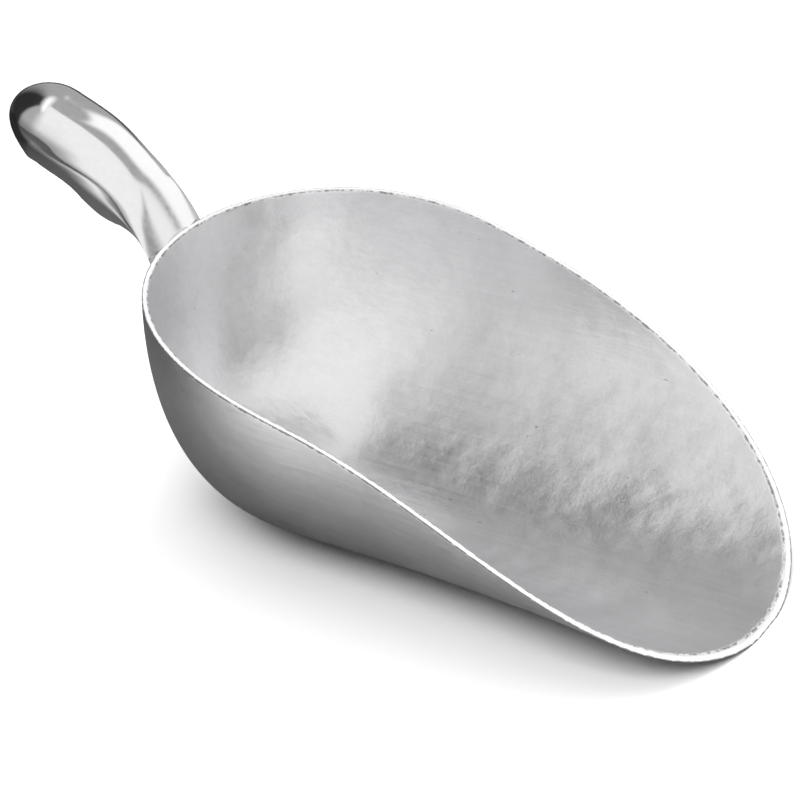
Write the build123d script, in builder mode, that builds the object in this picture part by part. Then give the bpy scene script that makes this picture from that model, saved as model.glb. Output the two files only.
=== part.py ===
from build123d import *
from math import atan2, cos, pi, sin
import os

# Ice scoop: a thin-walled aluminium bowl with a hollow polished grip at its back.
#
# Millimetres. +X points from the handle to the lip, +Z up, and the scoop is symmetric about
# the plane Y = 0. The origin is on the floor, under the middle of the scoop's whole box, and
# the scoop stands on its keel. Positions along X are measured from the back of the bowl.

# Bowl
bowl_length = 240.0  # back of the rim to the tip of the lip
bowl_depth = 96.0  # rim above the keel at the back
wall = 2.2
back_x = -85.2  # back of the rim, from the origin

fullest_x = 92.0  # here the back's rounded outline reaches its full half width
half_width = 84.0
outline_power = 2.2  # 2 would make the back's outline an ellipse
flare = 0.31  # the trough's half width grows by this share from fullest_x to the lip
flare_power = 1.7

keel_x = 70.0  # the keel is straight from here to the lip
keel_power = 2.5  # 2 would make the back's profile an ellipse
keel_flat = 0.25  # the round bottom is ground flat this deep along the keel, so that it stands

# Rim line in side view, as a Bezier curve's points: level at the back, falling to the lip
rim_line = [(0.0, 96.0), (60.0, 91.5), (120.0, 89.5), (180.0, 46.5), (240.0, 0.0)]

# Handle
axis_points = [(6.0, 91.0), (-20.5, 118.5), (-56.5, 132.4)]  # arched centreline, a Bezier
# Section at a share of the centreline: half width, height above it, depth below it. The first
# lies inside the bowl, whose outer surface trims the grip.
grip_sections = [
    (-0.15, 18.8, 0.6, 15.0),
    (0.00, 18.4, 0.8, 14.0),
    (0.23, 17.0, 5.0, 11.0),
    (0.40, 16.6, 11.0, 13.5),
    (0.65, 16.8, 15.0, 14.0),
    (0.90, 16.2, 14.2, 14.0),
]
cap_length = 13.0  # the rounded end beyond the centreline
cap_shares = (0.15, 0.5, 0.75, 0.9, 0.98)  # of that length, where its sections are
cap_size = (15.6, 13.4, 13.4)  # half width, height and depth where the cap starts
grip_wall = 2.5  # the grip is a hollow shell, open where it meets the bowl
finger_share = 0.73  # where the finger hollow is, along the centreline
finger_length = 27.0
finger_depth = 2.4
grip_depth = 14.0  # underside below the centreline at the finger hollow


# Bowl -------------------------------------------------------------------------------------

side_plane = Plane(origin=(back_x, 0, 0), x_dir=(1, 0, 0), z_dir=(0, -1, 0))
blank_top = bowl_depth + 40.0  # the blank stands above the rim, and the rim line trims it
first_x = 0.3  # the first section of the blank, where the back is still nearly a line


def rounded(share, power, root):
    """Height of a superellipse at this share of its half axis, from 0 to 1."""
    return (1 - min(abs(share), 1.0) ** power) ** (1 / root)


def trough_section(x, inset):
    """Half width and depth of the trough at x, inset by a wall from its outside."""
    if x < fullest_x:
        share = (fullest_x - x) / (fullest_x - inset)
        half = (half_width - inset) * rounded(share, outline_power, 2)
    else:
        share = (x - fullest_x) / (bowl_length - fullest_x)
        half = half_width * (1 + flare * share**flare_power) - inset
    depth = bowl_depth + keel_flat - inset
    if x < keel_x:
        depth *= rounded((keel_x - x) / (keel_x - inset), keel_power, keel_power)
    return half, depth


def trough_blank(inset, back_sections=14, front_sections=12):
    """The space inside the bowl's outer surface, less the inset, closed above the rim."""
    turns = [pi / 2 * step / back_sections for step in range(1, back_sections)]
    stations = [inset + first_x] + [inset + (fullest_x - inset) * (1 - cos(a)) for a in turns]
    front = (bowl_length + inset - fullest_x) / front_sections
    stations += [fullest_x + front * step for step in range(front_sections + 1)]
    with BuildPart() as blank:
        for x in stations:
            half, depth = trough_section(x, inset)
            with BuildSketch(Plane.YZ.offset(back_x + x)):
                with BuildLine():
                    EllipticalCenterArc((0, bowl_depth), half, depth, 180, arc_size=180)
                    Polyline((half, bowl_depth), (half, blank_top), (-half, blank_top), (-half, bowl_depth))
                make_face()
        loft()
    return blank.part


outside = trough_blank(0.0)
inside = trough_blank(wall)

with BuildPart() as bowl:
    add(outside)
    add(inside, mode=Mode.SUBTRACT)
    with BuildSketch(side_plane):
        with BuildLine():
            Bezier(*rim_line)
            lip_x, top = bowl_length + 2 * wall, blank_top + wall
            Polyline(rim_line[-1], (lip_x, 0), (lip_x, top), (-wall, top), (-wall, bowl_depth), rim_line[0])
        make_face()
    extrude(amount=2 * half_width, both=True, mode=Mode.SUBTRACT)
    split(bisect_by=Plane.XY, keep=Keep.TOP)


# Handle -----------------------------------------------------------------------------------


def axis_point(share):
    """Point of the handle's centreline, and the angle at which it climbs away from the bowl."""
    (x0, z0), (x1, z1), (x2, z2) = axis_points
    rest = 1 - share
    x = rest * rest * x0 + 2 * rest * share * x1 + share * share * x2
    z = rest * rest * z0 + 2 * rest * share * z1 + share * share * z2
    run = rest * (x0 - x1) + share * (x1 - x2)
    rise = rest * (z1 - z0) + share * (z2 - z1)
    return x, z, atan2(rise, run)


def grip_plane(x, z, climb):
    """Plane square to the centreline: its first axis is +Y, its second the grip's upside."""
    return Plane(origin=(back_x + x, 0, z), x_dir=(0, 1, 0), z_dir=(cos(climb), 0, -sin(climb)))


def grip_outline(x, z, climb, half, above, below):
    """Oval section of the grip, with one ellipse above the centreline and one below it."""
    with BuildSketch(grip_plane(x, z, climb)) as outline:
        with BuildLine():
            EllipticalCenterArc((0, 0), half, above, 0, arc_size=180)
            EllipticalCenterArc((0, 0), half, below, 180, arc_size=180)
        make_face()
    return outline.sketch


def hollow_outline(x, z, climb, half, above, below):
    """Section of the space inside the grip, clear of the wall and of the finger hollow."""
    inner_half = (half - grip_wall) * (above + below) / (2 * max(above, below))
    inner_height = (above + below - finger_depth) / 2 - grip_wall
    with BuildSketch(grip_plane(x, z, climb)) as outline:
        with Locations((0, (above - below + finger_depth) / 2)):
            Ellipse(inner_half, inner_height)
    return outline.sketch


def grip_loft(outline, cap_inset):
    """Solid through one kind of outline, along the centreline and round the end."""
    outlines = [outline(*axis_point(share), *sizes) for share, *sizes in grip_sections]
    end_x, end_z, climb = axis_point(1.0)
    for reach in cap_shares:
        cap_x = end_x - (cap_length - cap_inset) * reach * cos(climb)
        cap_z = end_z + (cap_length - cap_inset) * reach * sin(climb)
        taper = rounded(reach, 2, 2)
        sizes = [(size - cap_inset) * taper for size in cap_size]
        outlines.append(grip_outline(cap_x, cap_z, climb, *sizes))
    with BuildPart() as grip:
        loft(outlines)
    return grip.part


grip = grip_loft(grip_outline, 0.0)
grip_space = grip_loft(hollow_outline, grip_wall)

with BuildPart() as handle:
    add(grip)
    add(outside, mode=Mode.SUBTRACT)
    add(grip_space, mode=Mode.SUBTRACT)
    finger_x, finger_z, finger_climb = axis_point(finger_share)
    finger_radius = (finger_length**2 / 4 + finger_depth**2) / (2 * finger_depth)
    drop = grip_depth - finger_depth + finger_radius
    with BuildSketch(side_plane):
        with Locations((finger_x - drop * sin(finger_climb), finger_z - drop * cos(finger_climb))):
            Circle(finger_radius)
    extrude(amount=2 * half_width, both=True, mode=Mode.SUBTRACT)

# Output -----------------------------------------------------------------------------------

os.makedirs("parts", exist_ok=True)

bowl.part.label = "bowl"
export_step(bowl.part, "parts/bowl.step")

handle.part.label = "handle"
export_step(handle.part, "parts/handle.step")
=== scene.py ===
"""Ice scoop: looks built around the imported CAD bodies. Lengths in the tables are millimetres
measured from the back of the bowl's rim; meshes are made in metres in the row frame."""

import math
from functools import reduce

import bpy
import numpy as np
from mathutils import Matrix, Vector


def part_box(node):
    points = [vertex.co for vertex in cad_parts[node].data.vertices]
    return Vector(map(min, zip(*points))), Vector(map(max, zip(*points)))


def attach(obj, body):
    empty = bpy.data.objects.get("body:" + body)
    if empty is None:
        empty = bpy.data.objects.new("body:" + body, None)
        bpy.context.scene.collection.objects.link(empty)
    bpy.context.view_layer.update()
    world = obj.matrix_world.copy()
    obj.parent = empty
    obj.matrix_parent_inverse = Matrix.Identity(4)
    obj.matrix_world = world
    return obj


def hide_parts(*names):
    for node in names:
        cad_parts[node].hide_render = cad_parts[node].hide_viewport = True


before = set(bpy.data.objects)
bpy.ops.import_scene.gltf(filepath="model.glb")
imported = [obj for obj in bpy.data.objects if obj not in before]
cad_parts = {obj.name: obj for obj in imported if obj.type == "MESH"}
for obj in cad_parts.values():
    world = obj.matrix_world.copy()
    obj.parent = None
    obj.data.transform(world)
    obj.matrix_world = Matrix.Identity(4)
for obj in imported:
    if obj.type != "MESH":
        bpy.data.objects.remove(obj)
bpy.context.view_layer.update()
scene = bpy.context.scene

MM = 0.001

# The CAD model's own dimensions
BOWL_LENGTH = 240.0
BOWL_DEPTH = 96.0  # rim above the keel at the back
WALL = 2.2
BACK_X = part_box("bowl")[1].x / MM - BOWL_LENGTH  # back of the rim
FULLEST_X = 92.0  # here the back's rounded outline reaches its full half width
HALF_WIDTH = 84.0
OUTLINE_POWER = 2.2
FLARE = 0.31  # the half width grows by this share from there to the lip
FLARE_POWER = 1.7
KEEL_X = 70.0  # the keel is straight from here on
KEEL_POWER = 2.5
KEEL_FLAT = 0.25  # the round bottom is ground flat this deep along the keel
RIM_HEIGHTS = (96.0, 91.5, 89.5, 46.5, 0.0)  # Bezier heights at equal steps along the bowl

FLARE_EASE = 0.12  # softens the start of the flare, which would show as a line in reflections
FLARE_LIMIT = 1.2  # the flare goes on past the lip up to this share of its length
BACK_SEARCH = 30.0  # the rim's back end lies before this x,
LIP_SEARCH = (150.0, BOWL_LENGTH - 0.5)  # and its lip end between these two

# ---------------------------------------------------------------- camera

CAMERA_AZIMUTH = math.radians(27.956)
CAMERA_ELEVATION = math.radians(30.823)
CAMERA_DISTANCE = 1.4417
CAMERA_TARGET = Vector((BACK_X * MM + 0.0929, 0.0, 0.0523))
CAMERA_LENS = 180.01

camera_data = bpy.data.cameras.new("camera")
camera_data.lens = CAMERA_LENS
camera_data.sensor_width = 36.0
camera_data.clip_start = 0.05
camera_data.clip_end = 50.0
camera = bpy.data.objects.new("camera", camera_data)
scene.collection.objects.link(camera)
backwards = Vector(
    (
        math.sin(CAMERA_AZIMUTH) * math.cos(CAMERA_ELEVATION),
        -math.cos(CAMERA_AZIMUTH) * math.cos(CAMERA_ELEVATION),
        math.sin(CAMERA_ELEVATION),
    )
)
camera.location = CAMERA_TARGET + backwards * CAMERA_DISTANCE
camera.rotation_euler = (-backwards).to_track_quat("-Z", "Y").to_euler()
scene.camera = camera
scene.view_settings.view_transform = "Standard"


# ---------------------------------------------------------------- bowl shape


def rounded(share, power, root):
    """Height of a superellipse at this share of its half axis, from 0 to 1."""
    return np.clip(1 - np.clip(np.abs(share), 0, 1) ** power, 0, 1) ** (1 / root)


def trough_half(x, inset):
    """Half width of the trough's section at x, in its top plane."""
    back = (HALF_WIDTH - inset) * rounded(
        np.clip((FULLEST_X - x) / (FULLEST_X - inset), 0, 1), OUTLINE_POWER, 2
    )
    share = np.clip((x - FULLEST_X) / (BOWL_LENGTH - FULLEST_X), 0, FLARE_LIMIT)
    eased = (share * share + FLARE_EASE**2) ** (FLARE_POWER / 2) - FLARE_EASE**FLARE_POWER
    return np.where(x < FULLEST_X, back, HALF_WIDTH * (1 + FLARE * eased) - inset)


def trough_depth(x, inset):
    """Depth of the trough's section at x below its top plane."""
    share = np.clip((KEEL_X - x) / (KEEL_X - inset), 0, 1)
    return (BOWL_DEPTH + KEEL_FLAT - inset) * rounded(share, KEEL_POWER, KEEL_POWER)


def skin_height(x, y, inset):
    """Height of the bowl's outer surface, or of its inner one with the wall as inset."""
    share = np.clip(np.abs(y) / np.maximum(trough_half(x, inset), 1e-9), 0, 1)
    return np.maximum(BOWL_DEPTH - trough_depth(x, inset) * np.sqrt(1 - share**2), 0)


def rim_height(x):
    """Height of the rim line at x."""
    t = np.clip(x / BOWL_LENGTH, 0, 1)
    return sum(
        math.comb(4, i) * t**i * (1 - t) ** (4 - i) * h for i, h in enumerate(RIM_HEIGHTS)
    )


def keel_under_rim(x, inset):
    """Whether the keel line runs under the rim line at x."""
    return BOWL_DEPTH - trough_depth(np.array(x), inset) < rim_height(x)


def rim_end(low, high, inset):
    """Where the keel line crosses the rim line between low and high, by bisection."""
    under = keel_under_rim(low, inset)
    for _ in range(60):
        middle = (low + high) / 2
        if keel_under_rim(middle, inset) == under:
            low = middle
        else:
            high = middle
    return (low + high) / 2


def rim_loop(count, inset):
    """Closed loop of points along one edge of the rim, from the back along the near side."""
    start = rim_end(inset, BACK_SEARCH, inset) if inset else 0.0
    end = rim_end(*LIP_SEARCH, inset) if inset else BOWL_LENGTH
    turn = np.arange(count) / count * 2 * np.pi
    x = (start + end) / 2 - (end - start) / 2 * np.cos(turn)
    drop = (BOWL_DEPTH - rim_height(x)) / np.maximum(trough_depth(x, inset), 1e-9)
    half = trough_half(x, inset) * np.sqrt(np.clip(1 - drop**2, 0, 1))
    return np.stack([x, -np.sign(np.sin(turn)) * half, rim_height(x)], -1)


def unit(v):
    """Each row of v at length 1."""
    return v / np.maximum(np.linalg.norm(v, axis=-1, keepdims=True), 1e-12)


# ---------------------------------------------------------------- handle shape

GRIP_AXIS = ((5.6, 93.6), (-22.0, 117.8), (-56.5, 132.4))  # Bezier of the grip's widest line
# Share of that line, half width, height above it, depth below it, power of the section above
# it and below it: 2 is an ellipse, and less draws the sides in towards a soft ridge
GRIP_SECTIONS = (
    (-0.20, 19.0, 5.5, 9.0, 2.0, 1.40),
    (0.00, 18.6, 6.0, 8.6, 2.0, 1.40),
    (0.10, 18.2, 6.6, 8.3, 2.0, 1.40),
    (0.20, 17.6, 7.6, 8.2, 2.0, 1.40),
    (0.30, 16.8, 9.1, 11.4, 2.0, 1.6),
    (0.40, 16.5, 11.2, 14.2, 2.0, 1.8),
    (0.65, 16.5, 15.3, 13.6, 2.0, 2.0),
    (0.90, 16.2, 14.4, 14.5, 2.0, 2.0),
    (1.00, 16.0, 14.2, 11.8, 2.0, 2.0),
    (1.14, 15.6, 13.2, 10.0, 2.0, 2.0),
)
END_STARTS = 0.90  # share from which the grip is rounded off
END_SHARE = 1.137  # share of its very end
# Share, and lift of the underside there: root, neck, step, finger pad, finger hollow, corner
UNDERSIDE = (
    (-0.1, 0.0),
    (0.30, 0.0),
    (0.33, -0.9),
    (0.375, -0.9),
    (0.55, 0.0),
    (0.58, 0.6),
    (0.62, 1.1),
    (0.74, 1.3),
    (0.86, 1.3),
    (0.915, -0.6),
    (0.94, 0.0),
    (1.14, 0.0),
)
# Share, angle above the widest line in degrees, and height of the soft ridge on each side
RIDGES = (
    (-0.10, 15.0, 0.5),
    (0.10, 16.0, 0.5),
    (0.30, 18.5, 0.5),
    (0.50, 17.0, 0.5),
    (0.64, 10.0, 0.45),
    (0.76, 2.0, 0.3),
    (0.90, -6.0, 0.0),
    (1.14, -6.0, 0.0),
)
RIDGE_SPREAD = 9.0  # degrees
# The top of the grip's root stays under a sloping ceiling
ROOT_CROWN = 3.2  # height of that ceiling above the rim, in its middle at the back of the rim
ROOT_FALL = 4.2  # it is this much lower at ROOT_HALF to each side
ROOT_HALF = 18.0
ROOT_SLOPE = 1.90  # it climbs at this slope behind the rim
ROOT_EASE = 3.2  # rounds the corner where the grip runs into it


def eased_table(table, at):
    """Every column of the table at the shares in at, by smooth cubic pieces."""
    rows = np.array(table, float)
    x, y = rows[:, 0], rows[:, 1:]
    slope = np.gradient(y, x, axis=0)
    at = np.clip(at, x[0], x[-1])
    i = np.clip(np.searchsorted(x, at) - 1, 0, len(x) - 2)
    span = (x[i + 1] - x[i])[:, None]
    t = (at - x[i])[:, None] / span
    return (
        (1 + 2 * t) * (1 - t) ** 2 * y[i]
        + t * (1 - t) ** 2 * span * slope[i]
        + t * t * (3 - 2 * t) * y[i + 1]
        + t * t * (t - 1) * span * slope[i + 1]
    )


def bezier(points, t):
    """Point and unit tangent of a quadratic Bezier at each t."""
    a, b, c = (np.array(p, float) for p in points)
    t = np.asarray(t, float)[..., None]
    tangent = 2 * (1 - t) * (b - a) + 2 * t * (c - b)
    tangent = tangent / np.linalg.norm(tangent, axis=-1, keepdims=True)
    return (1 - t) ** 2 * a + 2 * t * (1 - t) * b + t * t * c, tangent


def underside_lift(share):
    """How far the finger hollow and the steps beside the finger pad lift the grip's underside."""
    at, lift = np.array(UNDERSIDE, float).T
    return np.interp(share, at, lift)


def grip_surface(share, turn):
    """Points of the grip's side: share along its line, turn round its section, 0 at the near
    side and a quarter turn at the top. Both are arrays of one shape."""
    flat_share = share.ravel()
    half, above, below, upper, lower = eased_table(GRIP_SECTIONS, flat_share).T.reshape(
        (5,) + share.shape
    )
    taper = rounded((np.maximum(share, END_STARTS) - END_STARTS) / (END_SHARE - END_STARTS), 2, 2)
    cos, sin = np.cos(turn), np.sin(turn)
    top = sin >= 0
    power = 2 / np.where(top, upper, lower)
    across = -half * np.sign(cos) * np.abs(cos) ** power
    under = np.clip(-sin, 0, 1) ** 2
    lift = underside_lift(flat_share).reshape(share.shape) * under
    height = np.where(top, above, -below) * np.abs(sin) ** power + lift
    angle, size = eased_table(RIDGES, flat_share).T.reshape((2,) + share.shape)
    lean = np.degrees(np.arctan2(height, np.abs(across))) - angle
    swell = taper * (1 + size * np.exp(-((lean / RIDGE_SPREAD) ** 2)) / half)
    point, along = bezier(GRIP_AXIS, share)
    x = point[..., 0] + height * swell * along[..., 1]
    z = point[..., 1] - height * swell * along[..., 0]
    crown = ROOT_CROWN - ROOT_FALL * np.square(across / ROOT_HALF)
    ceiling = BOWL_DEPTH + crown - ROOT_SLOPE * x
    z = (z + ceiling - np.sqrt((z - ceiling) ** 2 + ROOT_EASE**2)) / 2
    return np.stack([x, across * swell, z], -1)


# ---------------------------------------------------------------- meshes


def ring_mesh(name, rings, attributes):
    """Closed mesh through rings of points: the first and the last ring close to their middles.
    attributes gives values by name, one for each ring."""
    rings = [np.asarray(r, float) for r in rings]
    count = len(rings[0])
    ends = [rings[0].mean(0, keepdims=True), rings[-1].mean(0, keepdims=True)]
    points = np.concatenate([ends[0]] + rings + [ends[1]]) + [BACK_X, 0, 0]
    first = np.arange(count)
    following = (first + 1) % count
    faces = [(0, 1 + b, 1 + a) for a, b in zip(first, following)]
    for ring in range(len(rings) - 1):
        low, high = 1 + ring * count, 1 + (ring + 1) * count
        faces += [
            (low + a, low + b, high + b, high + a) for a, b in zip(first, following)
        ]
    last = 1 + (len(rings) - 1) * count
    faces += [(last + a, last + b, len(points) - 1) for a, b in zip(first, following)]
    mesh = bpy.data.meshes.new(name)
    mesh.from_pydata([tuple(p) for p in points * MM], [], [tuple(map(int, f)) for f in faces])
    mesh.update()
    for key, values in attributes.items():
        flat = np.concatenate([values[:1], np.repeat(values, count), values[-1:]])
        layer = mesh.attributes.new(key, "FLOAT", "POINT")
        layer.data.foreach_set("value", flat.astype(np.float32))
    mesh.polygons.foreach_set("use_smooth", [True] * len(mesh.polygons))
    piece = bpy.data.objects.new(name, mesh)
    scene.collection.objects.link(piece)
    return piece


RIM_POINTS = 560
SKIN_ROWS = 72
NEAR_EDGE = 1.4  # distance of the outermost of those rows from the rim
EDGE_SEARCH = 0.8  # every row near the rim lies past this share of the way out to it
KEEL_CENTRE = np.array([118.0, 0.0])  # the rows of the skins close in on this point
OUTER_CORNER = (0.16, 0.3)  # least and greatest rounding of the ground rim's corners
INNER_CORNER = (0.18, 0.5)
GROUND_SHARES = (0.32, 0.5, 0.68)  # rows across the flat of the rim, from its outer edge


def skin_ring(edge, inset, share):
    """Points of a skin at shares of the way from the keel's middle out to each edge point."""
    plan = KEEL_CENTRE + (edge[:, :2] - KEEL_CENTRE) * share[:, None]
    return np.column_stack([plan, skin_height(plan[:, 0], plan[:, 1], inset)])


def ring_near(edge, inset, distance):
    """Shares at which a skin is this far from its edge, by bisection."""
    low, high = np.full(len(edge), EDGE_SEARCH), np.ones(len(edge))
    for _ in range(40):
        middle = (low + high) / 2
        far = np.linalg.norm(skin_ring(edge, inset, middle) - edge, axis=1) > distance
        low, high = np.where(far, middle, low), np.where(far, high, middle)
    return (low + high) / 2


def skin_rings(edge, inset):
    """Rings of a skin from near its edge to next to the keel's middle."""
    start = ring_near(edge, inset, NEAR_EDGE)
    turns = np.pi / 2 * np.arange(SKIN_ROWS) / SKIN_ROWS
    return [skin_ring(edge, inset, start * np.cos(turn)) for turn in turns]


def uneven(rng, count, waves, low, high):
    """Smooth closed noise round a loop, between low and high."""
    turn = np.arange(count) / count * 2 * np.pi
    total = np.zeros(count)
    for wave in waves:
        total += rng.normal() * np.cos(wave * turn + rng.uniform(0, 2 * np.pi))
    total = (total - total.min()) / (total.max() - total.min())
    return (low + (high - low) * total)[:, None]


def rounded_edge(before, corner, after):
    """Three rings that round a corner between the ring before it and the one after it."""
    return [before, (before + 2 * corner + after) / 4, after]


def make_bowl():
    """Bowl as one closed skin. Its attributes say how much each row belongs to the rim's ground
    flat, to one of that flat's corners, and to the inside."""
    rng = np.random.default_rng(3)
    outer, inner = rim_loop(RIM_POINTS, 0.0), rim_loop(RIM_POINTS, WALL)
    over = unit(inner - outer)
    soft = uneven(rng, RIM_POINTS, range(20, 60, 3), *OUTER_CORNER)
    ragged = uneven(rng, RIM_POINTS, range(30, 160, 5), *INNER_CORNER)

    under_outer = skin_ring(outer, 0.0, ring_near(outer, 0.0, soft[:, 0]))
    outer_corner = rounded_edge(under_outer, outer, outer + over * soft)
    ground = [outer + (inner - outer) * share for share in GROUND_SHARES]
    under_inner = skin_ring(inner, WALL, ring_near(inner, WALL, ragged[:, 0]))
    inner_corner = rounded_edge(inner - over * ragged, inner, under_inner)

    rings, values = [], []
    for rows, land, edge, inside in (
        (skin_rings(outer, 0.0)[::-1], 0.0, 0.0, 0.0),
        (outer_corner, 0.6, 1.0, 0.0),
        (ground, 1.0, 0.0, 0.0),
        (inner_corner, 0.6, 0.7, 1.0),
        (skin_rings(inner, WALL), 0.0, 0.0, 1.0),
    ):
        rings += rows
        values += [(land, edge, inside)] * len(rows)
    return ring_mesh("bowl_skin", rings, dict(zip(("land", "edge", "inside"), zip(*values))))


GRIP_COLUMNS = 144
GRIP_ROWS = 150
CAP_ROWS = 36
ROOT_DEPTH = 0.9  # the grip's root ends this far inside the bowl's wall
ROOT_SEARCH = 0.4  # every line along the grip has left the wall by this share,
WALL_SEARCH = 30.0  # and the wall behind the root lies before this x


def root_shares(turn):
    """Share at which each line along the grip meets the bowl's wall, by bisection."""
    low, high = np.full_like(turn, GRIP_SECTIONS[0][0]), np.full_like(turn, ROOT_SEARCH)
    for _ in range(40):
        middle = (low + high) / 2
        x, y, z = grip_surface(middle, turn).T
        half, depth = trough_half(x, ROOT_DEPTH), trough_depth(x, ROOT_DEPTH)
        level = (y / np.maximum(half, 1e-6)) ** 2
        level += (np.maximum(BOWL_DEPTH - z, 0) / np.maximum(depth, 1e-6)) ** 2
        inside = (level < 1) & (x > ROOT_DEPTH)
        low, high = np.where(inside, middle, low), np.where(inside, high, middle)
    return (low + high) / 2


def wall_x(y, z):
    """Where the surface inside the wall, that the grip's root ends on, is at y and z."""
    low, high = np.full_like(y, ROOT_DEPTH), np.full_like(y, WALL_SEARCH)
    for _ in range(40):
        middle = (low + high) / 2
        half, depth = trough_half(middle, ROOT_DEPTH), trough_depth(middle, ROOT_DEPTH)
        level = (y / half) ** 2 + ((BOWL_DEPTH - z) / depth) ** 2
        low, high = np.where(level < 1, low, middle), np.where(level < 1, middle, high)
    return (low + high) / 2


def make_handle():
    """Handle as one closed skin, from its root inside the bowl's wall to its rounded end."""
    turn = np.arange(GRIP_COLUMNS) / GRIP_COLUMNS * 2 * np.pi
    root = root_shares(turn)
    rings = [
        grip_surface(root + (END_STARTS - root) * row / GRIP_ROWS, turn)
        for row in range(GRIP_ROWS + 1)
    ]
    for row in range(1, CAP_ROWS):
        reach = np.sin(np.pi / 2 * row / CAP_ROWS)
        share = END_STARTS + (END_SHARE - END_STARTS) * reach
        rings.append(grip_surface(np.full_like(turn, share), turn))
    middle = rings[0].mean(0)
    hidden = []
    for share in (0.25, 0.5, 0.75):  # the root's end follows the wall, inside it
        ring = middle + (rings[0] - middle) * share
        hidden.append(np.column_stack([wall_x(ring[:, 1], ring[:, 2]), ring[:, 1:]]))
    return ring_mesh("grip", hidden + rings, {})


bowl = make_bowl()
grip = make_handle()
for piece, node, slot in (
    (bowl, "bowl", "satin_aluminium"),
    (grip, "handle", "polished_aluminium"),
):
    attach(piece, "root")
    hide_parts(node)


# ---------------------------------------------------------------- materials


class Graph:
    """Shader nodes of a material or a world. Each call adds one kind and gives its output."""

    def __init__(self, tree):
        self.nodes, self.links = tree.nodes, tree.links

    def fill(self, socket, value):
        """Set a socket to a number, or link another node's output to it."""
        if isinstance(value, (int, float)):
            socket.default_value = value
        else:
            self.links.new(value, socket)

    def where(self, kind):
        """Coordinates of the kind that this output of Texture Coordinate gives."""
        return self.nodes.new("ShaderNodeTexCoord").outputs[kind]

    def axes(self, vector):
        """The three coordinates of a vector."""
        made = self.nodes.new("ShaderNodeSeparateXYZ")
        self.fill(made.inputs["Vector"], vector)
        return (made.outputs[axis] for axis in "XYZ")

    def attribute(self, name):
        """A value that the mesh holds at its points."""
        made = self.nodes.new("ShaderNodeAttribute")
        made.attribute_name = name
        return made.outputs["Fac"]

    def ray(self, kind):
        """1 for rays of this kind and 0 for others."""
        return self.nodes.new("ShaderNodeLightPath").outputs[kind]

    def noise(self, vector, scale, detail, rough, stretch=None):
        """Noise over the coordinates in vector, in repeats a metre."""
        if stretch:
            mapping = self.nodes.new("ShaderNodeMapping")
            mapping.inputs["Scale"].default_value = stretch
            self.fill(mapping.inputs["Vector"], vector)
            vector = mapping.outputs["Vector"]
        made = self.nodes.new("ShaderNodeTexNoise")
        self.fill(made.inputs["Vector"], vector)
        self.fill(made.inputs["Scale"], scale)
        self.fill(made.inputs["Detail"], detail)
        self.fill(made.inputs["Roughness"], rough)
        return made.outputs["Fac"]

    def math(self, operation, *values):
        """Result of one operation, whose name is Blender's own."""
        made = self.nodes.new("ShaderNodeMath")
        made.operation = operation
        for socket, value in zip(made.inputs, values):
            self.fill(socket, value)
        return made.outputs["Value"]

    def total(self, *values):
        return reduce(lambda a, b: self.math("ADD", a, b), values)

    def product(self, *values):
        return reduce(lambda a, b: self.math("MULTIPLY", a, b), values)

    def brightest(self, *values):
        return reduce(lambda a, b: self.math("MAXIMUM", a, b), values)

    def without(self, value):
        """What is left of 1 when value is taken away."""
        return self.math("SUBTRACT", 1.0, value)

    def remap(self, value, low, high, to_low, to_high):
        """Value between low and high, moved to between to_low and to_high."""
        made = self.nodes.new("ShaderNodeMapRange")
        ends = ("From Min", "From Max", "To Min", "To Max")
        for key, number in zip(ends, (low, high, to_low, to_high)):
            made.inputs[key].default_value = number
        self.fill(made.inputs["Value"], value)
        return made.outputs["Result"]

    def step(self, value, start, end):
        """0 up to start and 1 from end on, with a soft change between them."""
        made = self.nodes.new("ShaderNodeMapRange")
        made.interpolation_type = "SMOOTHSTEP"
        made.inputs["From Min"].default_value = start
        made.inputs["From Max"].default_value = end
        self.fill(made.inputs["Value"], value)
        return made.outputs["Result"]

    def grey(self, value, dark, light):
        """Colour between two nearly neutral greys, by value."""
        ramp = self.nodes.new("ShaderNodeValToRGB")
        for element, tone in zip(ramp.color_ramp.elements, (dark, light)):
            element.color = (tone, tone, tone * 1.01, 1)
        self.fill(ramp.inputs["Fac"], value)
        return ramp.outputs["Color"]

    def mix(self, kind, share, a, b):
        """Between a and b by share. kind is FLOAT or RGBA, which have sockets of their own."""
        made = self.nodes.new("ShaderNodeMix")
        made.data_type = kind
        first_input, output = {"FLOAT": (2, 0), "RGBA": (6, 2)}[kind]
        self.fill(made.inputs[0], share)
        self.fill(made.inputs[first_input], a)
        self.fill(made.inputs[first_input + 1], b)
        return made.outputs[output]

    def bump(self, height, distance, strength, normal=None):
        made = self.nodes.new("ShaderNodeBump")
        made.inputs["Distance"].default_value = distance
        made.inputs["Strength"].default_value = strength
        self.fill(made.inputs["Height"], height)
        if normal is not None:
            self.fill(made.inputs["Normal"], normal)
        return made.outputs["Normal"]


def material(name):
    """New material, its graph and its shader's inputs."""
    made = bpy.data.materials.new(name)
    made.use_nodes = True
    return made, Graph(made.node_tree), made.node_tree.nodes["Principled BSDF"].inputs


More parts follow.
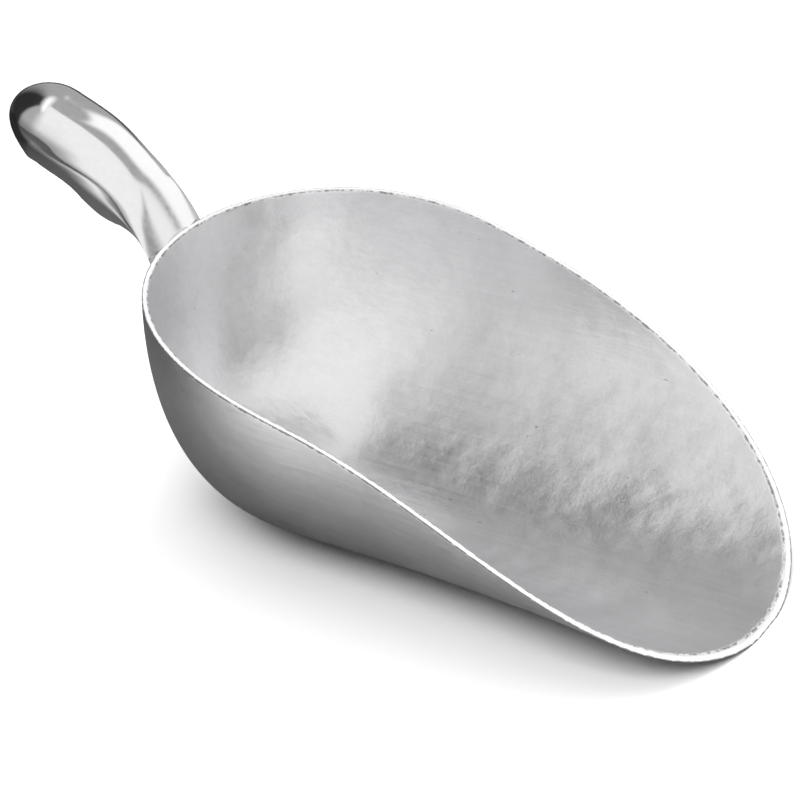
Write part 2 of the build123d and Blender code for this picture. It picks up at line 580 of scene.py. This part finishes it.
def satin_aluminium():
    """Brushed and finely grained metal, wavy inside the bowl, with a bright worn rim that is ground
    flat, and painted shade in dark lines along its corners."""
    made, graph, shader = material("satin_aluminium")
    where = graph.where("Object")
    land, edge, inside = (graph.attribute(name) for name in ("land", "edge", "inside"))
    cloud = graph.noise(where, 22.0, 5.0, 0.55)
    grain = graph.noise(where, 900.0, 3.0, 0.6)
    orange_peel = graph.noise(where, 260.0, 4.0, 0.6)
    brushed = graph.noise(where, 420.0, 4.0, 0.65, (0.045, 1.0, 1.0))
    pits = graph.noise(where, 650.0, 2.0, 0.5, (0.35, 1.0, 1.0))
    ragged = graph.noise(where, 420.0, 3.0, 0.6)
    waves = graph.noise(where, 38.0, 2.0, 0.5)

    tone = graph.total(cloud, graph.product(orange_peel, 0.4), graph.product(brushed, 0.6))
    tone = graph.remap(tone, 0.75, 1.25, 0, 1)
    outer_colour = graph.grey(tone, 0.68, 0.80)
    inner_colour = graph.grey(tone, 0.78, 0.90)
    body_colour = graph.mix("RGBA", inside, outer_colour, inner_colour)
    marks = graph.step(pits, 0.74, 0.80)
    body_colour = graph.mix("RGBA", marks, body_colour, graph.grey(pits, 0.35, 0.5))

    # ragged edges of the worn ground flat and of the painted shade along its corners
    ragged_wear_and_shade = graph.remap(ragged, 0.3, 0.7, -0.3, 0.3)
    ground = graph.remap(graph.total(land, ragged_wear_and_shade), 0.35, 0.55, 0, 1)
    # mask of the painted shade along the rim's rounded corners
    corner = graph.remap(graph.total(edge, ragged_wear_and_shade), 0.45, 0.85, 0, 1)
    land_colour = graph.grey(ragged, 0.80, 0.97)
    # painted shade: dark grey of the lines along the rim's corners
    corner_shade_colour = graph.grey(ragged, 0.10, 0.30)
    rim_colour = graph.mix("RGBA", corner, land_colour, corner_shade_colour)

    rough = graph.remap(tone, 0.0, 1.0, 0.28, 0.38)
    wavy = graph.bump(graph.product(waves, inside), 0.004, 0.26)
    texture = graph.total(orange_peel, graph.product(grain, 0.35), brushed)
    graph.fill(shader["Base Color"], graph.mix("RGBA", ground, body_colour, rim_colour))
    graph.fill(shader["Roughness"], graph.mix("FLOAT", ground, rough, 0.32))
    graph.fill(shader["Metallic"], graph.remap(ground, 0, 1, 1.0, 0.4))
    graph.fill(shader["Normal"], graph.bump(texture, 0.0003, 0.35, wavy))
    return made


def polished_aluminium():
    """Bright metal with the slight waves of a hand-polished casting."""
    made, graph, shader = material("polished_aluminium")
    where = graph.where("Object")
    waves = graph.noise(where, 45.0, 2.0, 0.5)
    fine = graph.noise(where, 500.0, 4.0, 0.6)
    graph.fill(shader["Base Color"], graph.grey(fine, 0.80, 0.90))
    graph.fill(shader["Roughness"], graph.remap(fine, 0.3, 0.7, 0.09, 0.15))
    graph.fill(shader["Normal"], graph.bump(waves, 0.0006, 0.12))
    shader["Metallic"].default_value = 1.0
    return made


bowl.data.materials.append(satin_aluminium())
grip.data.materials.append(polished_aluminium())


# ---------------------------------------------------------------- studio

FLOOR_REACH = 12.0
FLOOR_WHITE = 0.93
DEGREES = 57.2958  # in a radian


def floor_paper():
    """White to the camera. The metal reflects it as a grey one with painted light and shade on it: a
    painted pool of light in front of the scoop, less past its lip and past its far side, painted
    shade under the scoop, and the darkest painted shade behind its handle. In metres from the
    scoop's middle."""
    made, graph, shader = material("floor_paper")
    x, y, _ = graph.axes(graph.where("Object"))
    # painted light and shade: the reflected floor is a painted pool of light in front of the scoop,
    # dark under it
    towards_light = graph.math("SUBTRACT", graph.product(x, 0.3), y)
    distance = graph.product(y, -1.0)
    near = graph.product(
        graph.step(towards_light, 0.02, 0.25),
        graph.remap(graph.step(distance, 0.45, 0.25), 0, 1, 0.45, 1.0),
    )
    # painted light, dimmer, past the lip and past the far side
    past_lip = graph.product(graph.step(x, 0.35, 1.0), 0.7)
    past_far_side = graph.product(graph.step(y, 0.12, 0.4), 0.3)
    painted_light = graph.brightest(near, past_lip, past_far_side)
    # painted shade: the reflected floor darkens behind the handle
    painted_shade_behind_handle = graph.remap(graph.step(x, -0.34, -0.14), 0, 1, 0.15, 1.0)
    reflected = graph.product(graph.remap(painted_light, 0, 1, 0.11, 0.95), painted_shade_behind_handle)
    seen = graph.mix("FLOAT", graph.ray("Is Camera Ray"), reflected, FLOOR_WHITE)
    graph.fill(shader["Base Color"], seen)
    shader["Roughness"].default_value = 0.6
    shader["Specular IOR Level"].default_value = 0.0
    return made


def plain_floor():
    mesh = bpy.data.meshes.new("floor")
    corners = ((-1, -1), (1, -1), (1, 1), (-1, 1))
    mesh.from_pydata([(x * FLOOR_REACH, y * FLOOR_REACH, 0) for x, y in corners], [], [(0, 1, 2, 3)])
    mesh.materials.append(floor_paper())
    made = bpy.data.objects.new("floor", mesh)
    scene.collection.objects.link(made)


def softbox(name, place, size, power, aim=(0, 0, 0.06)):
    """Soft light for the floor and the worn rim. Mirror reflections show the world's boxes and
    not this."""
    data = bpy.data.lights.new(name, "AREA")
    data.shape = "RECTANGLE"
    data.size, data.size_y = size
    data.energy = power
    made = bpy.data.objects.new(name, data)
    made.location = place
    made.rotation_euler = (Vector(aim) - Vector(place)).to_track_quat("-Z", "Y").to_euler()
    made.visible_glossy = False
    scene.collection.objects.link(made)


def studio_world():
    """A dim studio with a large white box in front of the scoop and above it, a second one
    behind its far side with a gap between the two, a grey one beyond that, a narrow one overhead,
    and nothing behind the handle. Each step is one soft edge of a box: azimuth and elevation are
    in degrees, from +X and from the floor, and x is a share of the unit direction."""
    world = bpy.data.worlds.new("studio")
    world.use_nodes = True
    graph = Graph(world.node_tree)
    x, y, z = graph.axes(graph.where("Generated"))
    azimuth = graph.product(graph.math("ARCTAN2", y, x), DEGREES)
    elevation = graph.product(graph.math("ARCSINE", z), DEGREES)

    gap = graph.total(graph.product(elevation, -0.93), 56.5)  # leans back as it climbs
    past_gap = graph.math("SUBTRACT", azimuth, gap)
    widening = graph.product(elevation, graph.total(graph.product(elevation, 0.0115), 0.25))
    gap_width = graph.total(graph.brightest(widening, 0.0), 1.5)
    across_gap = graph.math("DIVIDE", past_gap, gap_width)
    leant = graph.total(elevation, graph.product(azimuth, 0.8))

    low_part = graph.product(
        graph.step(elevation, 20, 14),
        graph.step(azimuth, 37, 34),
        graph.step(azimuth, -40, -10),
        0.65,
    )
    left_part = graph.product(graph.step(elevation, 26, 2), graph.step(azimuth, -50, -75), 0.45)
    front = graph.product(
        graph.step(azimuth, -164, -150),
        graph.step(past_gap, 1.5, -1.5),
        graph.total(graph.product(graph.step(azimuth, -130, -86), 0.55), 0.45),
        graph.without(low_part),
        graph.without(left_part),
    )
    far = graph.product(
        graph.step(across_gap, 0.3, 1.05),
        graph.step(azimuth, 100, 84),
        graph.step(leant, 132, 114),
        1.15,
    )
    side = graph.product(graph.step(past_gap, -2, 2), graph.step(azimuth, 156, 118), 0.42)
    top = graph.product(
        graph.step(elevation, 46, 76),
        graph.step(x, -0.4, -0.14),
        graph.step(x, 0.16, -0.16),
        1.25,
    )
    reflected = graph.brightest(0.03, front, far, side, top)
    on_floor = graph.product(graph.step(elevation, 20, 50), 0.9)
    background = world.node_tree.nodes["Background"].inputs
    shown = graph.mix("FLOAT", graph.ray("Is Diffuse Ray"), reflected, on_floor)
    graph.fill(background["Color"], shown)
    background["Strength"].default_value = 1.0
    scene.world = world


plain_floor()
studio_world()
softbox("front_box", (0.3, -1.9, 2.2), (2.4, 1.0), 60)
softbox("back_box", (0.5, 2.2, 1.7), (2.0, 1.6), 36)
softbox("top_box", (-0.1, 0.0, 2.4), (2.2, 2.2), 20)
